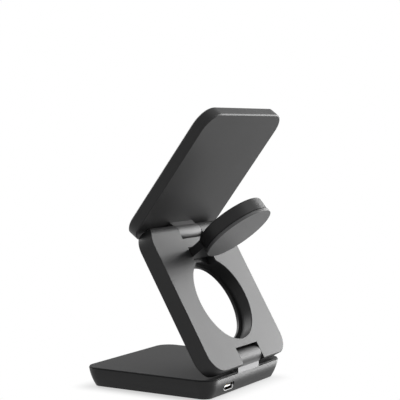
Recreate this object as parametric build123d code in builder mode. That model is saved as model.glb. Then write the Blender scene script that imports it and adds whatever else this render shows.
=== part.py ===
from build123d import *
import os
from math import cos, radians, sin

# Folding charging stand: a base for earbuds, a leaning arm with a round hole, a phone pad at the
# arm's top and a watch puck that swings out of the hole. X is the width, +Y the rear with the power
# inlet, +Z up, and the origin is the middle of the footprint.

# Base
plate_width = 71.4
base_depth = 67.8
base_height = 9.7
base_corner = 7.5
base_waist_inset = 1.15
base_foot_inset = 3.3
lid_edge = 0.35
lid_slope = 30.0
lid_inset = 0.2
lid_groove = 0.25
lid_groove_depth = 0.5
base_wall = 1.8
base_roof = 1.6
cover_lift = 0.6
cover_thickness = 1.8
cover_gap = 0.1
foot_sink = 0.4
foot_inset = 6.0
foot_corner = 5.0
post_diameter = 5.0
post_side_inset = 8.2
post_end_inset = 8.7
post_screw_length = 3.8

# Power inlet
port_inset = 19.6
port_height = 4.2
port_width = 8.94
port_tall = 3.26
port_wall = 0.3
port_length = 7.4
port_recess = 0.3
port_gap = 0.15
port_back = 1.0
blade_width = 6.7
blade_thickness = 0.7
blade_recess = 0.9

# Board, coil and weight in the base
board_side_inset = 10.9
board_rear_inset = 5.5
board_depth = 19.4
board_thickness = 1.0
board_post = 3.6
board_post_inset = 3.0
inductor_side = 6.6
inductor_gap = 0.4
inductor_spread = 30.0
chip_side = 5.0
chip_height = 0.9
parts_inset = 5.5
coil_thickness = 1.1
ferrite_thickness = 0.6
ferrite_margin = 1.0
earbud_coil_outer = 32.0
earbud_coil_inner = 14.0
earbud_inset = 23.9
weight_side_inset = 12.7
weight_front_inset = 5.9
weight_board_gap = 4.0
weight_gap = 0.2
weight_corner = 4.0

# Hinges
fold_gap = 0.3
side_gap = 0.25
run_gap = 0.03
hinge_setback = 2.6
hinge_lift = 5.05
hinge_width = 19.9
hinge_pin_diameter = 2.4
hinge_pin_length = 41.0
pin_end_gap = 0.2
stem_front = 3.4
stem_gap = 0.05
stem_screw_front = 2.0
stem_screw_spread = 12.0
stem_screw_bite = 2.4
lug_stem = 7.2
lug_screw_spread = 12.0
lug_screw_bite = 2.4

# Screws
screw_diameter = 2.0
screw_head = 3.4
screw_head_height = 0.8
screw_gap = 0.05

# Arm
arm_thickness = 8.1
arm_lean = 30.3
arm_heel = 4.0
arm_corner = 9.5
arm_bevel = 0.3
heel_round = 2.4
axis_span = 64.4
hole_diameter = 41.1
hole_rise = 28.5
hole_lip_width = 1.75
hole_lip_thickness = 1.5
arm_cover_thickness = 1.2
arm_cover_inset = 3.0
arm_cover_corner = 5.0
arm_cover_foot = 6.5
arm_cover_crown = 2.5
arm_cover_notch = 1.0
arm_cover_rim = 2.4
arm_cover_gap = 0.12
arm_cover_split = 30.0
ribbon_width = 5.6
ribbon_thickness = 0.4
ribbon_place = 27.6
ribbon_gap = 0.2
ribbon_end = 3.0

# Phone pad
pad_lean = 36.3
pad_length = 71.0
pad_thickness = 5.6
pad_drop = 5.3
pad_corner = 9.5
pad_bevel = 0.5
pad_rear_wall = 1.5
pad_lip = 1.0
pad_ledge = 0.8
pad_cover_thickness = 1.2
pad_cover_gap = 0.1
pad_groove_margin = 0.5
pad_groove_width = 0.8
pad_groove_depth = 0.2
phone_coil_outer = 43.0
phone_coil_inner = 20.0
magnet_gap = 0.8
magnet_width = 4.2
magnet_thickness = 1.8
magnet_count = 16
magnet_space = 0.8
pad_board_width = 30.0
pad_board_height = 22.0
pad_board_gap = 0.3

# Watch puck
watch_rise = 40.1
watch_reach = 23.7
watch_axis_depth = 2.05
watch_pin_diameter = 1.8
watch_pin_length = 27.0
puck_flush = 0.1
puck_rim_diameter = 34.8
puck_diameter = 34.0
puck_rim_height = 1.5
puck_groove = 0.35
puck_groove_depth = 0.6
puck_wall = 1.5
puck_edge_round = 0.6
puck_rim_round = 0.3
spigot_length = 1.0
dish_gap = 0.1
dish_edge = 1.5
dish_sag = 0.8
dish_ledge = 1.0
dish_ledge_height = 1.2
watch_coil_gap = 1.5
watch_coil_inner = 11.0
watch_magnet_diameter = 9.6
watch_magnet_thickness = 1.6
neck_width = 18.0
neck_side_gap = 0.3
neck_slot_head = 3.4

# Directions and hinge axes at rest
right = Vector(1, 0, 0)
arm_rear = Vector(0, cos(radians(arm_lean)), sin(radians(arm_lean)))
arm_up = Vector(0, -sin(radians(arm_lean)), cos(radians(arm_lean)))
pad_rear = Vector(0, cos(radians(pad_lean)), -sin(radians(pad_lean)))
puck_up = Vector(0, cos(radians(watch_rise)), sin(radians(watch_rise)))
puck_front = Vector(0, -sin(radians(watch_rise)), cos(radians(watch_rise)))
barrel_radius = arm_thickness / 2
hinge_reach = barrel_radius + fold_gap
base_axis = Vector(0, base_depth / 2 - hinge_setback, base_height + hinge_lift)
pad_axis = base_axis + arm_up * axis_span
watch_axis_rise = hole_rise + watch_reach
watch_axis_lift = barrel_radius - watch_axis_depth
watch_axis = base_axis + arm_up * watch_axis_rise + arm_rear * watch_axis_lift
puck_centre = watch_axis + puck_up * watch_reach
print("hinge axes", base_axis, pad_axis, watch_axis)

# Each face plane looks at a plate from behind, each side plane looks along the width
arm_face = Plane(origin=base_axis, x_dir=-right, z_dir=arm_rear)
arm_side = Plane(origin=base_axis, x_dir=arm_rear, z_dir=right)
knuckle_side = Plane(origin=base_axis, x_dir=(0, 1, 0), z_dir=right)
pad_face = Plane(origin=pad_axis, x_dir=-right, z_dir=pad_rear)
pad_side = Plane(origin=pad_axis, x_dir=pad_rear, z_dir=right)
puck_face = Plane(origin=puck_centre, x_dir=right, z_dir=puck_front)
puck_side = Plane(origin=watch_axis, x_dir=-puck_front, z_dir=right)
puck_section = Plane(origin=puck_centre, x_dir=right, z_dir=-puck_up)

# Heights in the base
lid_bottom = base_height - lid_edge
hull_top = lid_bottom - lid_groove
cavity_top = base_height - base_roof
cover_top = cover_lift + cover_thickness
foot_top = cover_lift + foot_sink
post_screw_seat = foot_top + screw_head_height
board_bottom = port_height - board_thickness / 2
board_top = board_bottom + board_thickness
coil_bottom = cavity_top - coil_thickness
shield_bottom = coil_bottom - ferrite_thickness

# Places in the base
port_place = plate_width / 2 - port_inset
board_width = plate_width - 2 * board_side_inset
board_rear = base_depth / 2 - board_rear_inset
board_front = board_rear - board_depth
board_middle = (board_front + board_rear) / 2


def side_inset(height):
    """How far the convex side stands in from the widest outline at a height."""
    share = (height - cover_lift) / (hull_top - cover_lift)
    foot_part = base_foot_inset * (1 - share) * (1 - 2 * share)
    return foot_part + 4 * base_waist_inset * share * (1 - share)


def base_outline(inset):
    """Rounded rectangle of the base, drawn in from its widest outline."""
    RectangleRounded(plate_width - 2 * inset, base_depth - 2 * inset, base_corner - inset)


def base_hull(bottom, top, inset, mode=Mode.ADD):
    """Boat-shaped body between two heights, drawn in from the outer side."""
    sections = []
    for height in (bottom, (bottom + top) / 2, top):
        with BuildSketch(Plane.XY.offset(height)) as section:
            base_outline(side_inset(height) + inset)
        sections.append(section.sketch)
    loft(sections, mode=mode)


def discs(plane, places, diameter, length, mode=Mode.ADD):
    """Round posts or bores of one length that start on a plane."""
    with BuildSketch(plane) as rounds:
        with Locations(*places):
            Circle(diameter / 2)
    extrude(rounds.sketch, amount=length, mode=mode)


def ring(plane, centre, outer, inner, length):
    """Flat ring that starts on a plane."""
    with BuildSketch(plane) as washer:
        with Locations(centre):
            Circle(outer / 2)
            Circle(inner / 2, mode=Mode.SUBTRACT)
    extrude(washer.sketch, amount=length)


def screws(plane, places, length):
    """Screws with their heads seated on a plane and their shanks along its normal."""
    discs(plane, places, screw_diameter, length)
    discs(plane, places, screw_head, -screw_head_height)


def screw_bores(plane, places, depth):
    """Bores for the shanks of screws."""
    discs(plane, places, screw_diameter + 2 * screw_gap, depth, Mode.SUBTRACT)


def cross_bore(plane, place, diameter, length):
    """Bore across the width, the same length to both sides of the middle."""
    with BuildSketch(plane) as section:
        with Locations(place):
            Circle(diameter / 2 + run_gap)
    extrude(section.sketch, amount=length / 2, both=True, mode=Mode.SUBTRACT)


def hinge_pin(axis, diameter, length):
    """Plain round pin across the width."""
    with BuildSketch(Plane(origin=axis, x_dir=(0, 1, 0), z_dir=right)) as section:
        Circle(diameter / 2)
    extrude(section.sketch, amount=length / 2, both=True)


def corners(half_width, half_depth, middle=0):
    """Four places, mirrored to both sides and both ends."""
    return [(side * half_width, middle + end * half_depth) for side in (-1, 1) for end in (-1, 1)]


def finish(builder, name):
    """Name a finished piece and write it out."""
    builder.part.label = name
    export_step(builder.part, f"parts/{name}.step")


os.makedirs("parts", exist_ok=True)

# Base shell: sloping convex sides, a groove under the edge of the lid, a pocket for the hinge's stem,
# posts for the cover's screws and a window for the inlet
post_places = corners(plate_width / 2 - post_side_inset, base_depth / 2 - post_end_inset)
stem_sink = base_height - hull_top
stem_screw_y = base_axis.Y - stem_screw_front
stem_screw_places = [(side * stem_screw_spread / 2, stem_screw_y) for side in (-1, 1)]
port_mouth = base_depth / 2 - side_inset(port_height) - port_recess
port_plane = Plane(origin=(port_place, port_mouth, port_height), x_dir=-right, z_dir=(0, 1, 0))

with BuildPart() as base_shell:
    base_hull(cover_lift, hull_top, 0)
    with BuildSketch(Plane.XY.offset(hull_top)):
        base_outline(lid_inset + lid_groove_depth)
    extrude(amount=lid_groove)
    with BuildSketch(Plane.XY.offset(lid_bottom)):
        base_outline(lid_inset)
    extrude(amount=lid_edge, taper=lid_slope)
    with BuildSketch(Plane.XY.offset(hull_top)):
        with Locations((0, base_axis.Y)):
            Rectangle(hinge_width + 2 * stem_gap, 2 * (stem_front + stem_gap))
    extrude(amount=stem_sink, mode=Mode.SUBTRACT)
    base_hull(cover_lift, cavity_top, base_wall, Mode.SUBTRACT)
    post_length = cavity_top - cover_top + base_roof / 2
    discs(Plane.XY.offset(cover_top), post_places, post_diameter, post_length)
    screw_bores(Plane.XY.offset(cover_top), post_places, post_screw_length)
    screw_bores(Plane.XY.offset(cavity_top), stem_screw_places, base_roof)
    with BuildSketch(port_plane.offset(-base_wall - base_foot_inset)):
        SlotOverall(port_width + 2 * port_gap, port_tall + 2 * port_gap)
    extrude(amount=base_wall + 2 * base_foot_inset, mode=Mode.SUBTRACT)
finish(base_shell, "base_shell")

# Bottom cover: plate with a seat for the foot pad, screw recesses and posts under the board
board_posts = corners(
    board_width / 2 - board_post_inset,
    board_depth / 2 - board_post_inset,
    board_middle,
)
front_posts = [place for place in board_posts if place[1] < board_middle]
rear_posts = [(-board_width / 2 + board_post_inset, board_rear - board_post_inset)]


def foot_outline():
    """Rounded rectangle of the rubber pad that the stand rests on."""
    RectangleRounded(plate_width - 2 * foot_inset, base_depth - 2 * foot_inset, foot_corner)


with BuildPart() as base_bottom_cover:
    base_hull(cover_lift, cover_top, base_wall + cover_gap)
    with BuildSketch(Plane.XY.offset(cover_lift)):
        foot_outline()
    extrude(amount=foot_sink, mode=Mode.SUBTRACT)
    head_bore = screw_head + 2 * screw_gap
    discs(Plane.XY.offset(foot_top), post_places, head_bore, screw_head_height, Mode.SUBTRACT)
    screw_bores(Plane.XY.offset(foot_top), post_places, cover_thickness)
    discs(Plane.XY.offset(cover_top), front_posts + rear_posts, board_post, board_bottom - cover_top)
finish(base_bottom_cover, "base_bottom_cover")

with BuildPart() as foot_pad:
    with BuildSketch():
        foot_outline()
    extrude(amount=foot_top)
finish(foot_pad, "foot_pad")

with BuildPart() as cover_screws:
    screws(Plane.XY.offset(post_screw_seat), post_places, post_screw_length)
finish(cover_screws, "cover_screws")

# Power inlet: folded metal shell with a contact blade
with BuildPart() as usb_c_shell:
    with BuildSketch(port_plane):
        SlotOverall(port_width, port_tall)
    extrude(amount=-port_length)
    with BuildSketch(port_plane):
        SlotOverall(port_width - 2 * port_wall, port_tall - 2 * port_wall)
    extrude(amount=-(port_length - port_back), mode=Mode.SUBTRACT)
finish(usb_c_shell, "usb_c_shell")

with BuildPart() as usb_c_tongue:
    with BuildSketch(port_plane.offset(-(port_length - port_back))):
        Rectangle(blade_width, blade_thickness)
    extrude(amount=port_length - port_back - blade_recess)
finish(usb_c_tongue, "usb_c_tongue")

# Power board with a cut-out that the inlet sits in
with BuildPart() as main_board:
    with BuildSketch(Plane.XY.offset(board_bottom)):
        with Locations((0, board_middle)):
            Rectangle(board_width, board_depth)
        with Locations((port_place, port_mouth - port_length / 2)):
            Rectangle(port_width + 2 * port_gap, port_length + 2 * port_gap, mode=Mode.SUBTRACT)
    extrude(amount=board_thickness)
finish(main_board, "main_board")

parts_row = board_front + parts_inset
with BuildPart() as board_parts:
    with BuildSketch(Plane.XY.offset(board_top)):
        with Locations((-inductor_spread / 2, parts_row), (inductor_spread / 2, parts_row)):
            RectangleRounded(inductor_side, inductor_side, inductor_side / 6)
    extrude(amount=cavity_top - inductor_gap - board_top)
    with BuildSketch(Plane.XY.offset(board_top)):
        with Locations((0, parts_row)):
            Rectangle(chip_side, chip_side)
    extrude(amount=chip_height)
finish(board_parts, "board_parts")

# Earbud coil under the roof, its shield below, and the steel weight on the cover
earbud_place = (0, earbud_inset - base_depth / 2)
with BuildPart() as earbud_coil:
    plane = Plane.XY.offset(coil_bottom)
    ring(plane, earbud_place, earbud_coil_outer, earbud_coil_inner, coil_thickness)
finish(earbud_coil, "earbud_coil")

with BuildPart() as earbud_ferrite:
    shield = earbud_coil_outer + 2 * ferrite_margin
    discs(Plane.XY.offset(coil_bottom), [earbud_place], shield, -ferrite_thickness)
finish(earbud_ferrite, "earbud_ferrite")

weight_width = plate_width - 2 * weight_side_inset
weight_front = weight_front_inset - base_depth / 2
weight_rear = board_front - weight_board_gap
with BuildPart() as base_weight:
    with BuildSketch(Plane.XY.offset(cover_top)):
        with Locations((0, (weight_front + weight_rear) / 2)):
            RectangleRounded(weight_width, weight_rear - weight_front, weight_corner)
    extrude(amount=shield_bottom - weight_gap - cover_top)
finish(base_weight, "base_weight")

# Hinge knuckle: stem sunk into the lid, flush with the rear edge, with a barrel on top
stem_height = base_axis.Z - hull_top
with BuildPart() as hinge_knuckle:
    with BuildSketch(knuckle_side):
        Circle(barrel_radius)
        with Locations(((hinge_setback - stem_front) / 2, -stem_height / 2)):
            Rectangle(hinge_setback + stem_front, stem_height)
    extrude(amount=hinge_width / 2, both=True)
    cross_bore(knuckle_side, (0, 0), hinge_pin_diameter, hinge_width)
    screw_bores(Plane.XY.offset(hull_top), stem_screw_places, stem_screw_bite + screw_gap)
finish(hinge_knuckle, "hinge_knuckle")

with BuildPart() as knuckle_screws:
    screws(Plane.XY.offset(cavity_top), stem_screw_places, hull_top - cavity_top + stem_screw_bite)
finish(knuckle_screws, "knuckle_screws")

# Arm frame: bevelled plate with a full round top, a round hole with a lip at its front, two hinge gaps
# and a slot for the neck
arm_length = arm_heel + axis_span + barrel_radius
gap_width = hinge_width + 2 * side_gap
neck_slot_depth = 2 * watch_axis_depth + fold_gap - puck_flush
arm_cover_head = axis_span - arm_cover_crown
cover_rise = (arm_cover_foot + arm_cover_head) / 2
ribbon_length = arm_cover_head - arm_cover_foot - 2 * ribbon_end
ribbon_places = [(-ribbon_place, cover_rise), (ribbon_place, cover_rise)]


def arm_cover_outline(grow):
    """Arch-shaped plate around the hole and the upper hinge gap, grown on all sides."""
    width = plate_width - 2 * arm_cover_inset + 2 * grow
    height = arm_cover_head - arm_cover_foot + 2 * grow
    with Locations((0, cover_rise)):
        RectangleRounded(width, height, arm_cover_corner + grow)
    with Locations((0, hole_rise)):
        Circle(hole_diameter / 2 + arm_cover_rim - grow, mode=Mode.SUBTRACT)
    with Locations((0, arm_cover_foot)):
        Rectangle(arm_cover_split - 2 * grow, hole_rise - arm_cover_foot, mode=Mode.SUBTRACT)
    notch = arm_cover_notch - grow
    with Locations((0, axis_span)):
        Rectangle(gap_width + 2 * notch, 2 * (hinge_reach + notch), mode=Mode.SUBTRACT)


with BuildPart() as arm_frame:
    with BuildSketch(arm_face):
        with Locations((0, arm_length / 2 - arm_heel)):
            RectangleRounded(plate_width, arm_length, arm_corner)
    extrude(amount=barrel_radius, both=True)
    with BuildSketch(arm_face):
        with Locations((0, hole_rise)):
            Circle(hole_diameter / 2 - hole_lip_width)
    extrude(amount=barrel_radius, both=True, mode=Mode.SUBTRACT)
    with BuildSketch(arm_face.offset(hole_lip_thickness - barrel_radius)):
        with Locations((0, hole_rise)):
            Circle(hole_diameter / 2)
    extrude(amount=arm_thickness, mode=Mode.SUBTRACT)
    thickness_axis = Axis(base_axis, arm_rear)
    flat_faces = arm_frame.faces().filter_by(thickness_axis).sort_by(thickness_axis)
    broad_faces = ShapeList([flat_faces[0], flat_faces[-1]])
    chamfer(broad_faces.edges(), arm_bevel)
    with BuildSketch(arm_side.offset(-plate_width / 2)):
        with Locations((0, (axis_span - arm_heel) / 2)):
            Rectangle(arm_thickness, axis_span + arm_heel)
        fillet(vertices().group_by(Axis.Y)[0].sort_by(Axis.X)[0], heel_round)
        with Locations((0, axis_span)):
            Circle(barrel_radius)
    extrude(amount=plate_width, mode=Mode.INTERSECT)
    with BuildSketch(arm_face):
        with Locations((0, 0), (0, axis_span)):
            Rectangle(gap_width, 2 * hinge_reach)
    extrude(amount=arm_thickness, both=True, mode=Mode.SUBTRACT)
    with BuildSketch(arm_face.offset(barrel_radius)):
        with Locations((0, (hole_rise + watch_axis_rise + neck_slot_head) / 2)):
            Rectangle(neck_width + 2 * neck_side_gap, watch_reach + neck_slot_head)
    extrude(amount=-neck_slot_depth, mode=Mode.SUBTRACT)
    bore_length = hinge_pin_length + 2 * pin_end_gap
    cross_bore(arm_side, (0, 0), hinge_pin_diameter, bore_length)
    cross_bore(arm_side, (0, axis_span), hinge_pin_diameter, bore_length)
    watch_bore_length = watch_pin_length + 2 * pin_end_gap
    cross_bore(arm_side, (watch_axis_lift, watch_axis_rise), watch_pin_diameter, watch_bore_length)
    with BuildSketch(arm_face.offset(-barrel_radius)):
        arm_cover_outline(arm_cover_gap)
    extrude(amount=arm_cover_thickness, mode=Mode.SUBTRACT)
    with BuildSketch(arm_face.offset(arm_cover_thickness - barrel_radius)):
        with Locations(*ribbon_places):
            Rectangle(ribbon_width + 2 * ribbon_gap, ribbon_length + 2 * ribbon_gap)
    extrude(amount=ribbon_thickness, mode=Mode.SUBTRACT)
finish(arm_frame, "arm_frame")

with BuildPart() as arm_front_cover:
    with BuildSketch(arm_face.offset(-barrel_radius)):
        arm_cover_outline(0)
    extrude(amount=arm_cover_thickness)
finish(arm_front_cover, "arm_front_cover")

with BuildPart() as arm_ribbons:
    with BuildSketch(arm_face.offset(arm_cover_thickness - barrel_radius)):
        with Locations(*ribbon_places):
            Rectangle(ribbon_width, ribbon_length)
    extrude(amount=ribbon_thickness)
finish(arm_ribbons, "arm_ribbons")

with BuildPart() as base_hinge_pin:
    hinge_pin(base_axis, hinge_pin_diameter, hinge_pin_length)
finish(base_hinge_pin, "base_hinge_pin")

with BuildPart() as pad_hinge_pin:
    hinge_pin(pad_axis, hinge_pin_diameter, hinge_pin_length)
finish(pad_hinge_pin, "pad_hinge_pin")

with BuildPart() as watch_hinge_pin:
    hinge_pin(watch_axis, watch_pin_diameter, watch_pin_length)
finish(watch_hinge_pin, "watch_hinge_pin")

# Phone pad: shallow rear shell, front cover on a ledge, and the lug that carries the pad
pad_middle = (0, pad_length / 2 - pad_drop)
pad_rear_plane = pad_face.offset(-hinge_reach)
pad_front_plane = pad_face.offset(-hinge_reach - pad_thickness)
pad_floor_plane = pad_rear_plane.offset(-pad_rear_wall)
pad_ledge_plane = pad_front_plane.offset(pad_cover_thickness)
lug_screw_places = [(side * lug_screw_spread / 2, 0) for side in (-1, 1)]
phone_shield = phone_coil_outer + 2 * ferrite_margin
magnet_inner = phone_shield + 2 * magnet_gap
magnet_outer = magnet_inner + 2 * magnet_width
pad_groove_radius = magnet_outer / 2 + pad_groove_margin
pad_space = pad_thickness - pad_rear_wall - pad_cover_thickness


def pad_outline(inset):
    """Rounded square of the pad, drawn in on all sides."""
    with Locations(pad_middle):
        RectangleRounded(plate_width - 2 * inset, pad_length - 2 * inset, pad_corner - inset)


with BuildPart() as pad_rear_shell:
    with BuildSketch(pad_rear_plane):
        pad_outline(0)
    extrude(amount=-pad_thickness)
    pad_broad_faces = pad_rear_shell.faces().filter_by(Axis(pad_axis, pad_rear))
    chamfer(pad_broad_faces.edges(), pad_bevel)
    with BuildSketch(pad_front_plane):
        pad_outline(pad_lip + pad_ledge)
    extrude(amount=pad_thickness - pad_rear_wall, mode=Mode.SUBTRACT)
    with BuildSketch(pad_front_plane):
        pad_outline(pad_lip)
    extrude(amount=pad_cover_thickness, mode=Mode.SUBTRACT)
    screw_bores(pad_floor_plane, lug_screw_places, pad_rear_wall)
finish(pad_rear_shell, "pad_rear_shell")

with BuildPart() as pad_front_cover:
    with BuildSketch(pad_front_plane):
        pad_outline(pad_lip + pad_cover_gap)
    extrude(amount=pad_cover_thickness)
    with BuildSketch(pad_front_plane):
        with Locations(pad_middle):
            Circle(pad_groove_radius + pad_groove_width)
            Circle(pad_groove_radius, mode=Mode.SUBTRACT)
    extrude(amount=pad_groove_depth, mode=Mode.SUBTRACT)
finish(pad_front_cover, "pad_front_cover")

with BuildPart() as pad_lug:
    with BuildSketch(pad_side):
        Circle(barrel_radius)
        with Locations((-hinge_reach / 2, 0)):
            Rectangle(hinge_reach, lug_stem)
    extrude(amount=hinge_width / 2, both=True)
    cross_bore(pad_side, (0, 0), hinge_pin_diameter, hinge_width)
    screw_bores(pad_rear_plane, lug_screw_places, lug_screw_bite + screw_gap)
finish(pad_lug, "pad_lug")

with BuildPart() as lug_screws:
    screws(pad_floor_plane, lug_screw_places, pad_rear_wall + lug_screw_bite)
finish(lug_screws, "lug_screws")

# Magnets, coil, shield and board in the pad
with BuildPart() as magnet_ring:
    with BuildSketch(pad_ledge_plane):
        with Locations(pad_middle):
            Circle(magnet_outer / 2)
            Circle(magnet_inner / 2, mode=Mode.SUBTRACT)
            with PolarLocations((magnet_inner + magnet_width) / 2, magnet_count):
                Rectangle(2 * magnet_width, magnet_space, mode=Mode.SUBTRACT)
    extrude(amount=magnet_thickness)
finish(magnet_ring, "magnet_ring")

with BuildPart() as phone_coil:
    ring(pad_ledge_plane, pad_middle, phone_coil_outer, phone_coil_inner, coil_thickness)
finish(phone_coil, "phone_coil")

with BuildPart() as phone_ferrite:
    discs(pad_ledge_plane.offset(coil_thickness), [pad_middle], phone_shield, ferrite_thickness)
finish(phone_ferrite, "phone_ferrite")

with BuildPart() as pad_board:
    with BuildSketch(pad_floor_plane):
        with Locations(pad_middle):
            Rectangle(pad_board_width, pad_board_height)
    extrude(amount=coil_thickness + ferrite_thickness + pad_board_gap - pad_space)
finish(pad_board, "pad_board")

# Watch puck: housing with the neck and its barrel, rimmed back, dished face, coil and magnet
puck_height = arm_thickness - 2 * puck_flush
face_height = watch_axis_depth - puck_flush
under_height = face_height - puck_height
rim_top = under_height + puck_rim_height
housing_bottom = rim_top + puck_groove
dish_bottom = face_height - dish_edge
cavity_diameter = puck_diameter - 2 * puck_wall
ledge_diameter = cavity_diameter - 2 * dish_ledge
watch_shield = ledge_diameter - 2 * watch_coil_gap
watch_coil_outer = watch_shield - 2 * ferrite_margin
middle = (0, 0)

with BuildPart() as puck_housing:
    housing_height = face_height - housing_bottom
    discs(puck_face.offset(housing_bottom), [middle], puck_diameter, housing_height)
    fillet(puck_housing.edges().sort_by(Axis(puck_centre, puck_front))[-1], puck_edge_round)
    with BuildSketch(puck_face.offset(-face_height)):
        with Locations((0, -watch_reach / 2)):
            Rectangle(neck_width, watch_reach)
    extrude(amount=2 * face_height)
    with BuildSketch(puck_side):
        Circle(face_height)
    extrude(amount=neck_width / 2, both=True)
    ledge_bottom = dish_bottom - dish_ledge_height
    cavity_height = ledge_bottom - housing_bottom
    discs(puck_face.offset(housing_bottom), [middle], cavity_diameter, cavity_height, Mode.SUBTRACT)
    discs(puck_face.offset(ledge_bottom), [middle], ledge_diameter, dish_ledge_height, Mode.SUBTRACT)
    discs(puck_face.offset(dish_bottom), [middle], cavity_diameter, dish_edge, Mode.SUBTRACT)
    cross_bore(puck_side, (0, 0), watch_pin_diameter, neck_width)
finish(puck_housing, "puck_housing")

with BuildPart() as puck_base:
    discs(puck_face.offset(under_height), [middle], puck_rim_diameter, puck_rim_height)
    fillet(puck_base.edges(), puck_rim_round)
    discs(puck_face.offset(rim_top), [middle], puck_diameter - 2 * puck_groove_depth, puck_groove)
    spigot_diameter = cavity_diameter - 2 * dish_gap
    discs(puck_face.offset(housing_bottom), [middle], spigot_diameter, spigot_length)
finish(puck_base, "puck_base")

dish_radius = cavity_diameter / 2 - dish_gap
with BuildPart() as puck_dish:
    with BuildSketch(puck_section):
        with BuildLine():
            hollow = ThreePointArc(
                (-dish_radius, face_height),
                (0, face_height - dish_sag),
                (dish_radius, face_height),
            )
            Polyline(hollow @ 1, (dish_radius, dish_bottom), (-dish_radius, dish_bottom), hollow @ 0)
        make_face()
        with Locations((-dish_radius / 2, dish_bottom)):
            Rectangle(dish_radius, 4 * dish_edge, mode=Mode.SUBTRACT)
    revolve(axis=Axis(puck_centre, puck_front))
finish(puck_dish, "puck_dish")

dish_plane = puck_face.offset(dish_bottom)
with BuildPart() as watch_coil:
    ring(dish_plane, middle, watch_coil_outer, watch_coil_inner, -coil_thickness)
finish(watch_coil, "watch_coil")

with BuildPart() as watch_ferrite:
    shield_plane = dish_plane.offset(-coil_thickness)
    ring(shield_plane, middle, watch_shield, watch_coil_inner, -ferrite_thickness)
finish(watch_ferrite, "watch_ferrite")

with BuildPart() as watch_magnet:
    discs(dish_plane, [middle], watch_magnet_diameter, -watch_magnet_thickness)
finish(watch_magnet, "watch_magnet")
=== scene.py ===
from math import pi, radians

import bpy
from mathutils import Matrix, Vector


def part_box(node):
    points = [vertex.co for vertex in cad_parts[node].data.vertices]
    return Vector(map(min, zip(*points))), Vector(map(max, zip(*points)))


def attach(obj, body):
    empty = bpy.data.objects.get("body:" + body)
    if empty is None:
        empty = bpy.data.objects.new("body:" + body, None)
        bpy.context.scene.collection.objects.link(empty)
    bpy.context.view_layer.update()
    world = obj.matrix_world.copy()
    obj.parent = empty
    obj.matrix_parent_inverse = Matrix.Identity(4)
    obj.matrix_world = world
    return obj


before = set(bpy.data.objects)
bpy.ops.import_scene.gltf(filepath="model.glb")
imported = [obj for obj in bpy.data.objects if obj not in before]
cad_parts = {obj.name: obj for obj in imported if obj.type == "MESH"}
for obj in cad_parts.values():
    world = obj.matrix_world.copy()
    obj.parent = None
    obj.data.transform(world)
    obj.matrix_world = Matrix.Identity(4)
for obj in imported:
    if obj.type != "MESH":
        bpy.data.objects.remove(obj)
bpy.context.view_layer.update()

# Camera
CAMERA_PLACE = Vector((0.50535, 0.30099, 0.12178))
CAMERA_YAW = radians(120.134)
CAMERA_TILT = radians(86.52)
CAMERA_ROLL = radians(0.27)
SENSOR_WIDTH = 36.0
FOCAL_LENGTH = 113.04

# Studio
AIM = Vector((0.0, 0.004, 0.06))
FLOOR_SIDE = 30.0
FLOOR_GREY = 0.8
SHADOW_SHARE = 0.4
SHADOW_HALF_WIDTH = 0.031
SHADOW_HALF_DEPTH = 0.029
SHADOW_FADE = 0.013
ROOM_GREY = 0.28

# Directions that the faces of base, pad and puck look in at rest
PAD_LEAN = radians(36.3)
PUCK_RISE = radians(40.1)
UPRIGHT = Vector((0, 0, 1))
PAD_NORMAL = Matrix.Rotation(-PAD_LEAN, 3, "X") @ Vector((0, -1, 0))
PUCK_NORMAL = Matrix.Rotation(PUCK_RISE, 3, "X") @ UPRIGHT

# Dark coat of the shells
SHELL_DARK = (0.015, 0.015, 0.0154)
SHELL_LIGHT = (0.021, 0.021, 0.0215)
SHELL_ROUGHNESS = 0.45
SHELL_SPECULAR = 0.24
SHELL_GRAIN = 0.000003
CLOUD_SCALE = 38.0
GRAIN_SCALE = 5200.0
CLOUD_SHARE = 0.6

# Base hinge: a dark coated barrel over a stem in lighter uncoated metal, which is a painted highlight for the
# light that falls on the stem
BARREL_ROUGHNESS = 0.55
BARREL_SPECULAR = 0.7
# Tones of the stem's metal, lighter to paint in the light that falls on it
PAINTED_LIT_STEM_DARK = (0.25, 0.25, 0.253)
PAINTED_LIT_STEM_LIGHT = (0.3, 0.3, 0.303)
STEM_ROUGHNESS = 0.45
# Heights over which the painted light on the stem gives way to the dark coat
PAINTED_LIGHT_FADES_FROM = 0.0107
PAINTED_LIGHT_GONE_AT = 0.0142

# Base: sides with a slight crown, and a matte lid
HULL_ROUGHNESS = 0.46
HULL_SPECULAR = 0.26
CROWN_FOOT = 0.0022
CROWN_SLOPE = 0.76
LID_DARK = (0.018, 0.018, 0.0184)
LID_LIGHT = (0.026, 0.026, 0.0266)
LID_ROUGHNESS = 0.7
LID_SPECULAR = 0.2
LID_PORES = 2600.0
LID_GRAIN = 0.000004
LID_EDGE = 0.0005
LID_STEP = 0.00002

# Inlet blade with its metal core and its contacts
BLADE_DARK = (0.012, 0.012, 0.012)
BLADE_LIGHT = (0.02, 0.02, 0.02)
BLADE_ROUGHNESS = 0.5
BLADE_PITS = 3000.0
BLADE_GRAIN = 0.000006
CORE_DARK = (0.72, 0.72, 0.72)
CORE_LIGHT = (0.8, 0.8, 0.8)
TIP_LENGTH = 0.0001
CONTACT_COUNT = 12
CONTACT_PITCH = 0.0005
CONTACT_WIDTH = 0.00026
CONTACT_LENGTH = 0.0036
CONTACT_RISE = 0.00005
CONTACT_SETBACK = 0.0004
CONTACT_BEVEL = 0.00003

# Soft ring let into the pad's face
RING_INNER = 0.02805
RING_OUTER = 0.02875
RING_SINK = 0.00018
RING_PROUD = 0.00007
RING_BEVEL = 0.0001
RING_STEPS = 160
RING_BEVEL_ANGLE = radians(40)

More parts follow.
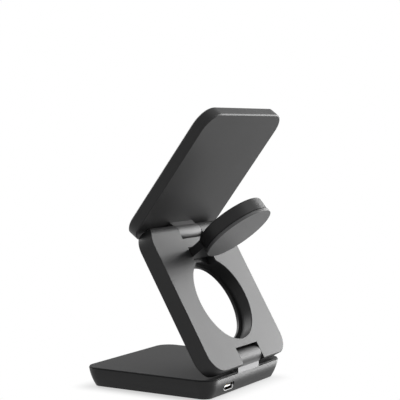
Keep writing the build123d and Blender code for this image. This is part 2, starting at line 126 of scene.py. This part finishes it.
# Fine lines in the dish, the puck's back, the coils and the ribbons
DISH_LINE_INNER = 0.0124
DISH_LINE_OUTER = 0.0128
DISH_LINE_EDGE = 0.00005
TURNING_PITCH = 0.00022
WIRE_PITCH = 0.0007
TRACK_PITCH = 0.0008

# Sharpest fold that is shaded smooth
SMOOTH_ANGLE = radians(35)

# Sockets of a Mix node that is set to colours
MIX_SHARE, MIX_FIRST, MIX_SECOND, MIX_RESULT = 0, 6, 7, 2

# Value that a noise keeps to in the mean
NOISE_MEAN = 0.5


class Shade:
    """A socket in a material's tree. Arithmetic on it adds Math nodes."""

    def __init__(self, tree, socket=None):
        self.tree = tree
        self.socket = socket

    def node(self, kind, settings=None, inputs=None, out=0):
        """Add a node, set it up, fill or link its sockets, and give one of its outputs."""
        made = self.tree.nodes.new(kind)
        for name, value in (settings or {}).items():
            setattr(made, name, value)
        for name, value in (inputs or {}).items():
            if isinstance(value, Shade):
                self.tree.links.new(value.socket, made.inputs[name])
            else:
                made.inputs[name].default_value = value
        return Shade(self.tree, made.outputs[out] if made.outputs else None)

    def maths(self, operation, *values):
        return self.node("ShaderNodeMath", {"operation": operation}, dict(enumerate(values)))

    def __add__(self, other):
        return self.maths("ADD", self, other)

    def __radd__(self, other):
        return self.maths("ADD", other, self)

    def __sub__(self, other):
        return self.maths("SUBTRACT", self, other)

    def __rsub__(self, other):
        return self.maths("SUBTRACT", other, self)

    def __mul__(self, other):
        return self.maths("MULTIPLY", self, other)

    def __rmul__(self, other):
        return self.maths("MULTIPLY", other, self)


def colour(red, green, blue):
    return (red, green, blue, 1.0)


def grey(level):
    return colour(level, level, level)


def start_material(name):
    """An empty material and the start of its tree."""
    material = bpy.data.materials.new(name)
    material.use_nodes = True
    material.node_tree.nodes.clear()
    return material, Shade(material.node_tree)


def close_material(start, shader):
    start.node("ShaderNodeOutputMaterial", inputs={"Surface": shader})


def principled(start, **inputs):
    """Principled shader. Sockets are named in lower case with _ for a space."""
    named = {name.replace("_", " ").title().replace("Ior", "IOR"): value for name, value in inputs.items()}
    return start.node("ShaderNodeBsdfPrincipled", None, named)


def surface(start, **inputs):
    """Close a material with one Principled shader."""
    close_material(start, principled(start, **inputs))


def blend(start, share, first, second):
    """Mix of two shaders."""
    return start.node("ShaderNodeMixShader", None, {0: share, 1: first, 2: second})


def place(start):
    return start.node("ShaderNodeTexCoord", out="Object")


def noise(start, scale, detail=2.0, where=None):
    """Noise over the piece's own coordinates."""
    inputs = {"Vector": where or place(start), "Scale": scale, "Detail": detail}
    return start.node("ShaderNodeTexNoise", {"normalize": True}, inputs, "Fac")


def varied(middle, pattern, swing):
    """A value that a noise moves about its middle."""
    return middle + (pattern - NOISE_MEAN) * swing


def stretched(start, scale):
    """The piece's coordinates, stretched along its axes."""
    return start.node("ShaderNodeMapping", None, {"Vector": place(start), "Scale": scale})


def mixed(start, share, first, second):
    """Colour between two others."""
    inputs = {MIX_SHARE: share, MIX_FIRST: first, MIX_SECOND: second}
    return start.node("ShaderNodeMix", {"data_type": "RGBA"}, inputs, MIX_RESULT)


def tinted(start, share, dark, light):
    """Colour between two fixed tones."""
    return mixed(start, share, colour(*dark), colour(*light))


def bump(start, height, distance, under=None):
    """Normal of a height, over another normal if one is given."""
    inputs = {"Height": height, "Distance": distance}
    if under:
        inputs["Normal"] = under
    return start.node("ShaderNodeBump", None, inputs)


def between(start, value, low, high):
    """0 below the lower edge, 1 above the upper, with a soft step."""
    settings = {"interpolation_type": "SMOOTHSTEP"}
    return start.node("ShaderNodeMapRange", settings, {"Value": value, "From Min": low, "From Max": high})


def axis_distance(start, centre, axis):
    """Distance from a line through a point."""
    offset = start.node("ShaderNodeVectorMath", {"operation": "SUBTRACT"}, {0: place(start), 1: centre})
    crossed = start.node("ShaderNodeVectorMath", {"operation": "CROSS_PRODUCT"}, {0: offset, 1: axis})
    return start.node("ShaderNodeVectorMath", {"operation": "LENGTH"}, {0: crossed}, "Value")


def along_axis(start, axis):
    """One of the piece's own coordinates."""
    return start.node("ShaderNodeSeparateXYZ", None, {0: place(start)}, axis)


def beyond(start, axis, half):
    """How far a point lies outside a band about the middle."""
    return start.maths("MAXIMUM", start.maths("ABSOLUTE", along_axis(start, axis)) - half, 0.0)


def wave(start, value, pitch):
    """Sine that repeats with a pitch."""
    return start.maths("SINE", value * (2 * pi / pitch))


def box_middle(node):
    low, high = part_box(node)
    return (Vector(low) + Vector(high)) / 2


def crown(start, foot, top, slope):
    """Normal of a side that rounds off towards its top, up to a slope."""
    rise = start.maths("MAXIMUM", along_axis(start, "Z") - foot, 0.0)
    return bump(start, rise * rise * (-slope / 2 / (top - foot)), 1.0)


def blasted(start, dark, light, roughness, under=None, **sockets):
    """Satin finish with a fine even grain and faint clouds in its gloss."""
    clouds = noise(start, CLOUD_SCALE)
    grains = noise(start, GRAIN_SCALE)
    return principled(
        start,
        base_color=tinted(start, clouds * CLOUD_SHARE + grains * (1 - CLOUD_SHARE), dark, light),
        roughness=varied(varied(roughness, clouds, swing=0.08), grains, swing=0.12),
        normal=bump(start, grains, SHELL_GRAIN, under),
        **sockets,
    )


def dark_coat(start, roughness, specular, under=None):
    return blasted(start, SHELL_DARK, SHELL_LIGHT, roughness, under, specular_ior_level=specular)


def coated_shell(name, roughness, specular):
    """Dark coated metal."""
    material, start = start_material(name)
    close_material(start, dark_coat(start, roughness, specular))
    return material


def barrel_with_painted_lit_stem(name):
    """Dark coated barrel that blends downwards into a lighter uncoated metal stem; the lighter stem is a
    painted highlight for the light that falls on it.
    """
    material, start = start_material(name)
    coat = dark_coat(start, BARREL_ROUGHNESS, BARREL_SPECULAR)
    # Painted highlight: the stem's lighter metal stands in for the light that falls on it
    painted_lit_stem = blasted(start, PAINTED_LIT_STEM_DARK, PAINTED_LIT_STEM_LIGHT, STEM_ROUGHNESS, metallic=1.0)
    share = between(start, along_axis(start, "Z"), PAINTED_LIGHT_FADES_FROM, PAINTED_LIGHT_GONE_AT)
    close_material(start, blend(start, share, painted_lit_stem, coat))
    return material


def lidded_shell(name, lid_height):
    """Coated shell with crowned sides, whose lid is a finer matte."""
    material, start = start_material(name)
    pores = noise(start, LID_PORES, detail=3.0)
    lid = principled(
        start,
        base_color=tinted(start, pores, LID_DARK, LID_LIGHT),
        roughness=varied(LID_ROUGHNESS, pores, swing=0.12),
        specular_ior_level=LID_SPECULAR,
        normal=bump(start, pores, LID_GRAIN),
    )
    rounding = crown(start, CROWN_FOOT, lid_height, CROWN_SLOPE)
    sides = dark_coat(start, HULL_ROUGHNESS, HULL_SPECULAR, rounding)
    edge = lid_height - LID_EDGE
    share = between(start, along_axis(start, "Z"), edge - LID_STEP, edge)
    close_material(start, blend(start, share, sides, lid))
    return material


def eroded(start, dark, light, roughness, pit_scale, grain):
    """Matte plastic with a spark-eroded texture."""
    pits = noise(start, pit_scale, detail=3.0)
    return principled(
        start,
        base_color=tinted(start, pits, dark, light),
        roughness=varied(roughness, pits, swing=0.15),
        normal=bump(start, pits, grain),
    )


def moulded_plastic(name, dark, light, roughness, pit_scale, grain):
    material, start = start_material(name)
    close_material(start, eroded(start, dark, light, roughness, pit_scale, grain))
    return material


def tipped_blade(name, tip):
    """Black moulded blade whose metal core shows at its tip."""
    material, start = start_material(name)
    moulded = eroded(start, BLADE_DARK, BLADE_LIGHT, BLADE_ROUGHNESS, BLADE_PITS, BLADE_GRAIN)
    core = blasted(start, CORE_DARK, CORE_LIGHT, STEM_ROUGHNESS, metallic=1.0)
    share = between(start, along_axis(start, "Y"), tip - TIP_LENGTH, tip - TIP_LENGTH / 2)
    close_material(start, blend(start, share, moulded, core))
    return material


def streaked_metal(name, dark, light, roughness, stretch):
    """Bright metal with fine streaks along one direction."""
    material, start = start_material(name)
    streaks = noise(start, scale=900.0, detail=3.0, where=stretched(start, stretch))
    surface(
        start,
        base_color=tinted(start, streaks, dark, light),
        metallic=1.0,
        roughness=varied(roughness, streaks, swing=0.2),
        normal=bump(start, streaks, distance=0.000004),
    )
    return material


def plated_metal(name, dark, light):
    """Bright plating with faint stains."""
    material, start = start_material(name)
    stains = noise(start, scale=260.0, detail=4.0)
    surface(
        start,
        base_color=tinted(start, stains, dark, light),
        metallic=1.0,
        roughness=varied(0.24, stains, swing=0.16),
        normal=bump(start, stains, distance=0.000006),
    )
    return material


def polished_dish(name, centre, axis):
    """Smooth black dish with a fine line round its face and faint polishing haze."""
    material, start = start_material(name)
    haze = noise(start, scale=120.0, detail=3.0)
    reach = axis_distance(start, centre, axis)
    inside = between(start, reach, DISH_LINE_INNER, DISH_LINE_INNER + DISH_LINE_EDGE)
    outside = between(start, reach, DISH_LINE_OUTER, DISH_LINE_OUTER + DISH_LINE_EDGE)
    line = inside * (1 - outside)
    surface(
        start,
        base_color=tinted(start, line * 0.8 + haze * 0.2, dark=(0.01, 0.01, 0.01), light=(0.05, 0.05, 0.052)),
        roughness=varied(0.14, haze, swing=0.08) + line * 0.25,
        coat_weight=0.5,
        coat_roughness=0.06,
        normal=bump(start, line, distance=0.00002),
    )
    return material


def turned_back(name, centre, axis):
    """Grey satin back with faint turning marks round its middle."""
    material, start = start_material(name)
    marks = wave(start, axis_distance(start, centre, axis), TURNING_PITCH)
    grains = noise(start, GRAIN_SCALE)
    clouds = noise(start, scale=60.0)
    surface(
        start,
        base_color=tinted(start, clouds, dark=(0.062, 0.062, 0.063), light=(0.08, 0.08, 0.081)),
        roughness=varied(0.48, grains, swing=0.12) + marks * 0.025,
        normal=bump(start, grains + marks * 0.175, distance=0.000006),
    )
    return material


def wound_copper(name, centre, axis):
    """Enamelled wire wound in rings, each turn a round ridge, with varnish between the turns."""
    material, start = start_material(name)
    ridge = start.maths("ABSOLUTE", wave(start, axis_distance(start, centre, axis), 2 * WIRE_PITCH))
    stains = noise(start, scale=420.0, detail=3.0)
    shine = ridge * 0.75 + stains * 0.25
    surface(
        start,
        base_color=tinted(start, shine, dark=(0.16, 0.045, 0.014), light=(0.62, 0.24, 0.1)),
        metallic=between(start, ridge, low=0.15, high=0.5),
        roughness=varied(0.39, stains, swing=0.14),
        coat_weight=0.6,
        coat_roughness=0.15,
        normal=bump(start, ridge, distance=0.00012),
    )
    return material


def pressed_ferrite(name):
    """Dark sintered sheet with a coarse speckle."""
    material, start = start_material(name)
    grains = noise(start, scale=1400.0, detail=4.0)
    flecks = between(start, noise(start, GRAIN_SCALE), low=0.62, high=0.7)
    speckle = grains * 0.6 + flecks * 0.4
    surface(
        start,
        base_color=tinted(start, speckle, dark=(0.035, 0.034, 0.033), light=(0.11, 0.108, 0.105)),
        metallic=flecks * 0.5,
        roughness=varied(0.55, grains, swing=0.25),
        normal=bump(start, grains, distance=0.00003),
    )
    return material


def solder_mask(name):
    """Green board with tracks that show as low ridges under the mask, and tinned pads."""
    material, start = start_material(name)
    where = place(start)
    settings = {"offset": 0.5, "squash": 1.0}
    inputs = {"Vector": where, "Scale": 420.0, "Mortar Size": 0.03, "Brick Width": 1.6, "Row Height": 0.4}
    tracks = start.node("ShaderNodeTexBrick", settings, inputs, "Fac")
    cells = start.node("ShaderNodeTexVoronoi", None, {"Vector": where, "Scale": 420.0}, "Distance")
    pads = 1 - between(start, cells, low=0.14, high=0.17)
    mask = tinted(start, tracks, dark=(0.008, 0.06, 0.026), light=(0.02, 0.13, 0.055))
    tin = colour(0.72, 0.72, 0.7)
    surface(
        start,
        base_color=mixed(start, pads, mask, tin),
        metallic=pads,
        roughness=varied(0.34, noise(start, scale=900.0), swing=0.12),
        normal=bump(start, tracks + pads, distance=0.00003),
    )
    return material


def film_ribbon(name):
    """Amber film with copper tracks along its length."""
    material, start = start_material(name)
    tracks = between(start, wave(start, along_axis(start, "X"), TRACK_PITCH), low=-0.1, high=0.25)
    surface(
        start,
        base_color=tinted(start, tracks, dark=(0.3, 0.11, 0.015), light=(0.48, 0.22, 0.05)),
        roughness=varied(0.375, noise(start, scale=600.0), swing=0.15),
        coat_weight=0.4,
        coat_roughness=0.1,
        normal=bump(start, tracks, distance=0.00003),
    )
    return material


def dress(material, *nodes):
    """Give CAD pieces a finish."""
    for name in nodes:
        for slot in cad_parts[name].material_slots:
            slot.material = material


def select_faces(test):
    """In edit mode, select the faces whose middle passes a test."""
    mesh = bpy.context.object
    bpy.ops.mesh.select_mode(type="FACE")
    bpy.ops.mesh.select_all(action="DESELECT")
    bpy.ops.object.mode_set(mode="OBJECT")
    for face in mesh.data.polygons:
        face.select = test(face.center)
    bpy.ops.object.mode_set(mode="EDIT")


def face_outwards():
    """In edit mode, turn every face of the mesh outwards."""
    bpy.ops.mesh.select_all(action="SELECT")
    bpy.ops.mesh.normals_make_consistent(inside=False)


def add_modifier(piece, kind, **settings):
    """Add a modifier and apply it."""
    modifier = piece.modifiers.new(kind.lower(), kind)
    for name, value in settings.items():
        setattr(modifier, name, value)
    bpy.ops.object.modifier_apply(modifier=modifier.name)


def settle(piece, matrix, name, body, material):
    """Move a piece's place into its mesh, name it and fix it to its body."""
    piece.matrix_world = matrix
    bpy.ops.object.transform_apply(location=True, rotation=True, scale=True)
    bpy.ops.object.shade_smooth_by_angle(angle=SMOOTH_ANGLE)
    piece.name = name
    piece.data.materials.append(material)
    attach(piece, body)


def add_inlet_contacts(material):
    """Two rows of gilt contacts on the blade of the inlet."""
    low, high = (Vector(corner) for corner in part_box("usb_c_tongue"))
    bpy.ops.object.select_all(action="DESELECT")
    bpy.ops.mesh.primitive_cube_add(size=1.0)
    contact = bpy.context.object
    contact.scale = (CONTACT_WIDTH, CONTACT_LENGTH, 2 * CONTACT_RISE)
    bpy.ops.object.transform_apply(location=False, rotation=False, scale=True)
    bpy.ops.object.mode_set(mode="EDIT")
    select_faces(lambda middle: middle.z > 0)
    bpy.ops.mesh.bevel(offset=CONTACT_BEVEL, segments=2)
    bpy.ops.object.mode_set(mode="OBJECT")
    add_modifier(
        contact, "ARRAY", count=CONTACT_COUNT, use_relative_offset=False, use_constant_offset=True,
        constant_offset_displace=(CONTACT_PITCH, 0.0, 0.0),
    )
    middle = (low + high) / 2
    first = middle.x - CONTACT_PITCH * (CONTACT_COUNT - 1) / 2
    tip = high.y - CONTACT_SETBACK - CONTACT_LENGTH / 2
    half = (high.z - low.z) / 2
    contact.location = (first, tip, half)
    bpy.ops.object.transform_apply(location=True, rotation=False, scale=False)
    add_modifier(contact, "MIRROR", use_axis=(False, False, True), use_mirror_merge=False)
    bpy.ops.object.mode_set(mode="EDIT")
    face_outwards()
    bpy.ops.object.mode_set(mode="OBJECT")
    settle(contact, Matrix.Translation((0, 0, middle.z)), "inlet_contacts", "base", material)


def add_pad_ring(material):
    """Soft ring that fills the groove in the pad's face."""
    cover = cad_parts["pad_front_cover"]
    middle = box_middle("pad_front_cover")
    corners = [cover.matrix_world @ vertex.co for vertex in cover.data.vertices]
    face = max((corner - middle).dot(PAD_NORMAL) for corner in corners)
    bpy.ops.object.select_all(action="DESELECT")
    bpy.ops.mesh.primitive_circle_add(vertices=RING_STEPS, radius=RING_INNER)
    ring = bpy.context.object
    bpy.ops.object.mode_set(mode="EDIT")
    bpy.ops.mesh.select_mode(type="EDGE")
    bpy.ops.mesh.select_all(action="SELECT")
    bpy.ops.mesh.extrude_region_move()
    wider = RING_OUTER / RING_INNER
    bpy.ops.transform.resize(value=(wider, wider, 1.0))
    bpy.ops.mesh.select_all(action="SELECT")
    bpy.ops.mesh.extrude_region_move(TRANSFORM_OT_translate={"value": (0, 0, RING_SINK + RING_PROUD)})
    face_outwards()
    bpy.ops.object.mode_set(mode="OBJECT")
    add_modifier(
        ring, "BEVEL", width=RING_BEVEL, segments=3, limit_method="ANGLE", angle_limit=RING_BEVEL_ANGLE
    )
    turn = PAD_NORMAL.to_track_quat("Z", "X").to_matrix().to_4x4()
    seat = Matrix.Translation(middle + PAD_NORMAL * (face - RING_SINK))
    settle(ring, seat @ turn, "pad_ring", "phone_pad", material)


def add_camera():
    data = bpy.data.cameras.new("camera")
    data.sensor_width = SENSOR_WIDTH
    data.lens = FOCAL_LENGTH
    camera = bpy.data.objects.new("camera", data)
    bpy.context.scene.collection.objects.link(camera)
    turn = Matrix.Rotation(CAMERA_YAW, 4, "Z")
    turn = turn @ Matrix.Rotation(CAMERA_TILT, 4, "X") @ Matrix.Rotation(CAMERA_ROLL, 4, "Z")
    camera.matrix_world = Matrix.Translation(CAMERA_PLACE) @ turn
    bpy.context.scene.camera = camera


def add_soft_box(name, direction, distance, width, height, radiance):
    """Large even lamp that faces the object."""
    data = bpy.data.lights.new(name, "AREA")
    data.shape = "RECTANGLE"
    data.size = width
    data.size_y = height
    data.energy = radiance * pi * width * height
    lamp = bpy.data.objects.new(name, data)
    bpy.context.scene.collection.objects.link(lamp)
    away = Vector(direction).normalized()
    turn = away.to_track_quat("Z", "Y").to_matrix().to_4x4()
    lamp.matrix_world = Matrix.Translation(AIM + away * distance) @ turn


def seen_as_background(start):
    """1 for the rays that show the background: direct, mirrored and passed through glass."""
    outputs = start.node("ShaderNodeLightPath").socket.node.outputs
    names = ("Is Camera Ray", "Is Glossy Ray", "Is Transmission Ray")
    camera, mirrored, passed = (Shade(start.tree, outputs[name]) for name in names)
    return start.maths("MINIMUM", camera + mirrored + passed, 1.0)


def light_room():
    """White surroundings for what is seen, and an even grey for the light that they give."""
    world = bpy.data.worlds.new("room")
    world.use_nodes = True
    world.node_tree.nodes.clear()
    start = Shade(world.node_tree)
    seen = seen_as_background(start)
    level = seen + (1 - seen) * ROOM_GREY
    light = start.node("ShaderNodeBackground", None, {"Color": grey(1.0), "Strength": level})
    start.node("ShaderNodeOutputWorld", inputs={"Surface": light})
    bpy.context.scene.world = world


def add_floor():
    """White floor that keeps a soft shadow near the object."""
    bpy.ops.object.select_all(action="DESELECT")
    bpy.ops.mesh.primitive_plane_add(size=FLOOR_SIDE)
    floor = bpy.context.object
    floor.name = "floor"
    material, start = start_material("floor_paper")
    across = beyond(start, "X", SHADOW_HALF_WIDTH)
    along = beyond(start, "Y", SHADOW_HALF_DEPTH)
    distance = start.maths("SQRT", across * across + along * along)
    near = 1 - between(start, distance, 0.0, SHADOW_FADE)
    paper = start.node("ShaderNodeBsdfDiffuse", None, {"Color": grey(FLOOR_GREY)})
    white = start.node("ShaderNodeEmission", None, {"Color": grey(1.0), "Strength": 1.0})
    share = seen_as_background(start) * (1 - near * SHADOW_SHARE)
    close_material(start, blend(start, share, paper, white))
    floor.data.materials.append(material)


bpy.context.scene.view_settings.view_transform = "Standard"
add_camera()
light_room()
add_floor()
add_soft_box("key_box", (-0.872, 0.42, 0.27), distance=0.8, width=0.6, height=0.4, radiance=7.4)
add_soft_box("low_box", (-0.863, 0.5, 0.01), distance=0.8, width=0.7, height=0.12, radiance=11.6)
add_soft_box("top_box", (-0.1, 0.55, 0.83), distance=0.9, width=0.4, height=0.4, radiance=3.5)
add_soft_box("front_box", (-0.15, -0.82, 0.55), distance=0.9, width=0.55, height=0.55, radiance=4.6)

# Outer shells
shell = coated_shell("coated_shell", SHELL_ROUGHNESS, SHELL_SPECULAR)
dress(shell, "arm_frame", "pad_rear_shell", "puck_housing")
# Hinge knuckle, with a painted highlight on its stem
dress(barrel_with_painted_lit_stem("barrel_with_painted_lit_stem"), "hinge_knuckle")
dress(coated_shell("coated_lug", BARREL_ROUGHNESS, BARREL_SPECULAR), "pad_lug")
dress(lidded_shell("lidded_shell", lid_height=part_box("base_shell")[1][2]), "base_shell")
dress(turned_back("turned_back", box_middle("puck_base"), PUCK_NORMAL), "puck_base")
dress(polished_dish("polished_dish", box_middle("puck_dish"), PUCK_NORMAL), "puck_dish")

# Plastic and rubber
cover_plastic = moulded_plastic(
    "moulded_cover", dark=(0.018, 0.018, 0.019), light=(0.026, 0.026, 0.027), roughness=0.55,
    pit_scale=2600.0, grain=0.00001,
)
dress(cover_plastic, "base_bottom_cover", "arm_front_cover")
pad_skin = moulded_plastic(
    "soft_pad_skin", dark=(0.016, 0.016, 0.017), light=(0.021, 0.021, 0.022), roughness=0.62,
    pit_scale=4200.0, grain=0.000006,
)
dress(pad_skin, "pad_front_cover")
rubber = moulded_plastic(
    "foot_rubber", dark=(0.012, 0.012, 0.012), light=(0.02, 0.02, 0.02), roughness=0.8,
    pit_scale=1500.0, grain=0.00002,
)
dress(rubber, "foot_pad")
chip_plastic = moulded_plastic(
    "moulded_chip", dark=(0.022, 0.022, 0.023), light=(0.04, 0.04, 0.041), roughness=0.5,
    pit_scale=3800.0, grain=0.00001,
)
dress(chip_plastic, "board_parts")
dress(tipped_blade("tipped_blade", tip=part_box("usb_c_tongue")[1][1]), "usb_c_tongue")

# Bare metal
steel = streaked_metal(
    "turned_steel", dark=(0.42, 0.42, 0.43), light=(0.6, 0.6, 0.61), roughness=0.3,
    stretch=(0.05, 1.0, 1.0),
)
dress(steel, "cover_screws", "knuckle_screws", "lug_screws", "base_weight")
dress(steel, "base_hinge_pin", "pad_hinge_pin", "watch_hinge_pin")
inlet_steel = streaked_metal(
    "drawn_steel", dark=(0.78, 0.78, 0.785), light=(0.9, 0.9, 0.905), roughness=0.2,
    stretch=(1.0, 0.06, 1.0),
)
dress(inlet_steel, "usb_c_shell")
nickel = plated_metal("nickel_plate", dark=(0.5, 0.49, 0.47), light=(0.66, 0.65, 0.63))
dress(nickel, "magnet_ring", "watch_magnet")

# Boards, coils and ribbons
dress(solder_mask("solder_mask"), "main_board", "pad_board")
dress(wound_copper("earbud_winding", box_middle("earbud_coil"), UPRIGHT), "earbud_coil")
dress(wound_copper("phone_winding", box_middle("phone_coil"), PAD_NORMAL), "phone_coil")
dress(wound_copper("watch_winding", box_middle("watch_coil"), PUCK_NORMAL), "watch_coil")
dress(pressed_ferrite("pressed_ferrite"), "earbud_ferrite", "phone_ferrite", "watch_ferrite")
dress(film_ribbon("film_ribbon"), "arm_ribbons")

# Small trim
add_inlet_contacts(plated_metal("gilt_contacts", dark=(0.68, 0.46, 0.16), light=(0.85, 0.62, 0.26)))
ring_rubber = moulded_plastic(
    "soft_ring", dark=(0.085, 0.085, 0.087), light=(0.115, 0.115, 0.117), roughness=0.6,
    pit_scale=3000.0, grain=0.000005,
)
add_pad_ring(ring_rubber)
